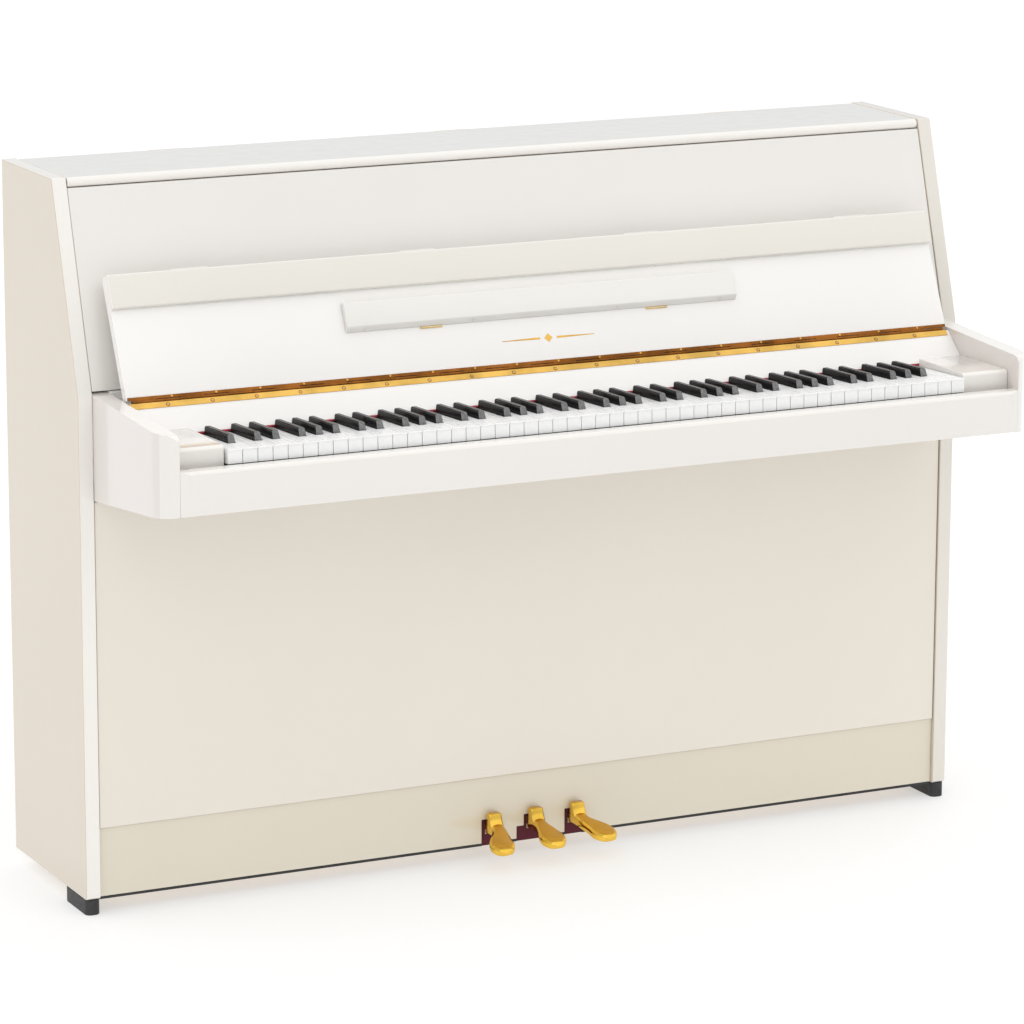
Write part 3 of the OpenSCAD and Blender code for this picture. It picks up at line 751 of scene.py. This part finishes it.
def add_neck(bm, x):
    """The block that rises in front of the toe rail, hollowed a little in front."""
    rings = []
    for z, front, half, edge in NECK_RISE:
        back = NECK_BACK - (FOOT_HALF_NECK - half) * NECK_TAPER
        corners = ((-half + edge, back), (-half, back - edge), (-half, front + edge),
                   (-half + edge, front), (0, front + NECK_HOLLOW), (half - edge, front),
                   (half, front + edge), (half, back - edge), (half - edge, back))
        rings.append((corners, z))
    add_stack(bm, rings, Matrix.Translation((x, 0, 0)))


def lever_section(chamfer):
    """The lever's outline in side view: (y, z)."""
    low, high, back = LEVER_LOW + chamfer, LEVER_HIGH - chamfer, LEVER_BACK - chamfer
    return [(back, low), (back, high), (LEVER_FRONT, high), (LEVER_FRONT, low)]


def cast_pedal(node, x, flare):
    """The pedal as a casting: foot plate, neck, lever and pivot pin."""
    bm = bmesh.new()
    add_foot(bm, x, flare)
    add_neck(bm, x)
    side = Matrix.Translation((x, 0, 0)) @ SIDE_VIEW
    add_stack(bm, [(lever_section(1), -LEVER_HALF), (lever_section(0), 1 - LEVER_HALF),
                   (lever_section(0), LEVER_HALF - 1), (lever_section(1), LEVER_HALF)],
              side)
    add_tube(bm, (x - PIN_HALF, PIN_Y, PIN_Z), (x + PIN_HALF, PIN_Y, PIN_Z),
             PIN_RADIUS, 32)
    piece = new_piece(node + "_casting", scaled(bm), PEDAL_BRASS_LIT,
                      NODES[node]["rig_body"], 26)
    # The plateau in a darker, satin copy of the brass as painted shade; the rest in the
    # lighter copy as painted highlight.
    paint_light_by_facing(piece, PEDAL_SATIN_SHADED, lambda normal: normal.z > 0.9)
    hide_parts(node)


for pedal, pedal_x, flare_way in zip(("pedal_soft", "pedal_practice", "pedal_sustain"),
                                     PEDAL_X, (-1, 0, 1)):
    cast_pedal(pedal, pedal_x, flare_way * PEDAL_FLARE)

# The slots of the toe rail, about each pedal's middle, and the clear way for its lever
SLOT_HALF = 14.2
WAY_HALF = 8.8
SLOT_LOW, SLOT_HIGH = 21.6, 63.6
WAY_LOW, WAY_HIGH = 39, 59.4
# The practice pedal's slot has a side pocket, where the pedal locks.
POCKET_OUTER, POCKET_INNER, POCKET_HIGH = -26.6, -14.3, 45.6
FELT_FRONT, FELT_BACK = -5.4, -3
# The strip under the rail, a black sheet that is painted shade
STRIP_DEPTH = 4.6
STRIP_LET_IN = 0.6
STRIP_GAP = 0.3
# How far it stops short of the rail's front and back, and its rounding and end gaps
STRIP_SHORT = (1.0, 1.5)
STRIP_EDGE = 0.5


def add_pedal_slot_felts():
    """Felt that closes each slot of the toe rail round its lever."""
    bm = bmesh.new()
    pads = []
    for x in PEDAL_X:
        way = (x - WAY_HALF, x + WAY_HALF)
        pads += [(x - SLOT_HALF, way[0], SLOT_LOW, SLOT_HIGH),
                 (way[1], x + SLOT_HALF, SLOT_LOW, SLOT_HIGH),
                 (*way, WAY_HIGH, SLOT_HIGH), (*way, SLOT_LOW, WAY_LOW)]
    pads.append((POCKET_OUTER, POCKET_INNER, SLOT_LOW, POCKET_HIGH))
    for left, right, low, high in pads:
        add_prism(bm, [(left, low), (right, low), (right, high), (left, high)],
                  FELT_FRONT, FELT_BACK, FRONT_VIEW)
    new_piece("pedal_slot_felts", scaled(bm), MAROON_FELT, "case")


add_pedal_slot_felts()


def add_toe_shade_strip():
    """A black strip under the toe rail, end to end, with gaps at the pedal slots: painted
    shade under the rail.
    """
    low, high = (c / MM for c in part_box("toe_rail"))
    bm = bmesh.new()
    front, back = low.y + STRIP_SHORT[0], high.y - STRIP_SHORT[1]
    bottom, top = low.z - STRIP_DEPTH, low.z + STRIP_LET_IN
    outline = [(front, bottom), (back, bottom), (back, top), (front, top)]
    soft_x, practice_x, sustain_x = PEDAL_X
    half = SLOT_HALF + STRIP_GAP
    ends = [low.x + STRIP_EDGE, soft_x - half, soft_x + half,
            POCKET_OUTER - STRIP_GAP, practice_x + half,
            sustain_x - half, sustain_x + half, high.x - STRIP_EDGE]
    for start, end in zip(ends[::2], ends[1::2]):
        add_prism(bm, outline, start, end, SIDE_VIEW)
    strip = new_piece("toe_rail_painted_shade_strip", scaled(bm), BLACK_RUBBER_AND_SHADE, "case")
    bevel = strip.modifiers.new("rounded_edges", "BEVEL")
    bevel.width = STRIP_EDGE * MM
    bevel.segments = 2


add_toe_shade_strip()


# ---------------------------------------------------------------- back and lid
BACKWARD = (0, 1, 0)
LID_HINGE_X = (-480, 0, 480)
# Screw rows of a lid hinge: depth and height of the faces they stand on
LID_SCREW_FACE = (282.7, 1090)
CASE_SCREW_FACE = (285.3, 1062)
LID_HEAD = (1.7, 0.5)
CASE_HEAD = (2.4, 0.7)
# Where the back beams cross the outer and the inner posts
BOLT_X = (-680, -340, 340, 680)
BOLT_Z = (1030, 58)
BACK_FACE = 284
WASHER_RADIUS = 11
BOLT_HEAD = circle(6.4, 6)
BOLT_CROWN = circle(5.6, 6)
dress("lid_hinge_moving", BRASS)
dress("lid_hinge_fixed", BRASS)


def add_lid_hinge_screws():
    """Two screws in each lid leaf, and three in a shallow V in each case leaf."""
    lid_screws, case_screws = bmesh.new(), bmesh.new()
    for x in LID_HINGE_X:
        for dx in (-24, 24):
            y, z = LID_SCREW_FACE
            place = surface_place((x + dx, y, z), BACKWARD)
            add_screw(lid_screws, place, *LID_HEAD, x + dx)
        for dx in (-22, 0, 22):
            y, z = CASE_SCREW_FACE
            place = surface_place((x + dx, y, z + abs(dx) * 0.6), BACKWARD)
            add_screw(case_screws, place, *CASE_HEAD, x + dx)
    new_piece("lid_hinge_lid_screws", scaled(lid_screws), SCREW, "lid")
    new_piece("lid_hinge_case_screws", scaled(case_screws), SCREW, "case")


add_lid_hinge_screws()


def add_back_bolts():
    """Hexagon bolts with washers where the beams meet each post."""
    bm = bmesh.new()
    for x in BOLT_X:
        for z in BOLT_Z:
            place = surface_place((x, BACK_FACE, z), BACKWARD)
            washer = circle(WASHER_RADIUS)
            add_stack(bm, [(washer, SUNK), (washer, 1.1),
                           (circle(WASHER_RADIUS - 0.6), 1.4)], place)
            add_stack(bm, [(BOLT_HEAD, 1.2), (BOLT_HEAD, 4.4), (BOLT_CROWN, 5.0)], place)
    new_piece("back_bolts", scaled(bm), BLACK_STEEL, "case", 25)


add_back_bolts()


# ---------------------------------------------------------------- room and light
# The floor is lit from within, as a light table, so that shadows stay faint.
FLOOR_GLOW = 0.49
FLOOR_HALF_SIZE = 40
# Sky brightness at sine heights above the horizon
SKY = ((0.02, 0.58), (0.42, 1.12))
# Lamps: name, place, target, size and power
LAMPS = (("key_light", (-2.6, -3.4, 3.6), (0, 0, 0.7), (2.6, 2.0), 7),
         ("top_light", (0.6, -0.6, 3.6), (0, 0, 0.8), (3.0, 2.0), 2))


def add_floor():
    """A pale floor out to the horizon."""
    bm = bmesh.new()
    bmesh.ops.create_grid(bm, x_segments=8, y_segments=8, size=FLOOR_HALF_SIZE)
    mesh = bpy.data.meshes.new("floor")
    bm.to_mesh(mesh)
    bm.free()
    f = Finish("floor_pale", 0.75)
    f.colours(f.noise(0.8, 2), (0.3, (0.50, 0.50, 0.498)), (0.7, (0.52, 0.52, 0.518)))
    f.shader.inputs["Emission Color"].default_value = (1, 1, 1, 1)
    f.shader.inputs["Emission Strength"].default_value = FLOOR_GLOW
    mesh.materials.append(f.mat)
    floor = bpy.data.objects.new("floor", mesh)
    bpy.context.scene.collection.objects.link(floor)


def add_light(name, place, target, size, power):
    """A rectangular lamp at place that shines at target."""
    data = bpy.data.lights.new(name, "AREA")
    data.shape = "RECTANGLE"
    data.size, data.size_y = size
    data.energy = power
    light = bpy.data.objects.new(name, data)
    light.location = place
    aim = Vector(target) - Vector(place)
    light.rotation_euler = aim.to_track_quat("-Z", "Y").to_euler()
    bpy.context.scene.collection.objects.link(light)


def add_room():
    """A sky that brightens with height, and two soft lights."""
    world = bpy.data.worlds.new("studio")
    world.use_nodes = True
    tree = world.node_tree
    background = tree.nodes["Background"]
    background.inputs["Strength"].default_value = 1.0
    height = tree.nodes.new("ShaderNodeSeparateXYZ")
    sky = tree.nodes.new("ShaderNodeValToRGB")
    tree.links.new(tree.nodes.new("ShaderNodeTexCoord").outputs["Generated"],
                   height.inputs["Vector"])
    tree.links.new(height.outputs["Z"], sky.inputs["Fac"])
    tree.links.new(sky.outputs["Color"], background.inputs["Color"])
    for element, (at, level) in zip(sky.color_ramp.elements, SKY):
        element.position = at
        element.color = (level, level, level, 1)
    bpy.context.scene.world = world
    bpy.context.scene.view_settings.view_transform = "Standard"
    for lamp in LAMPS:
        add_light(*lamp)


add_floor()
add_room()
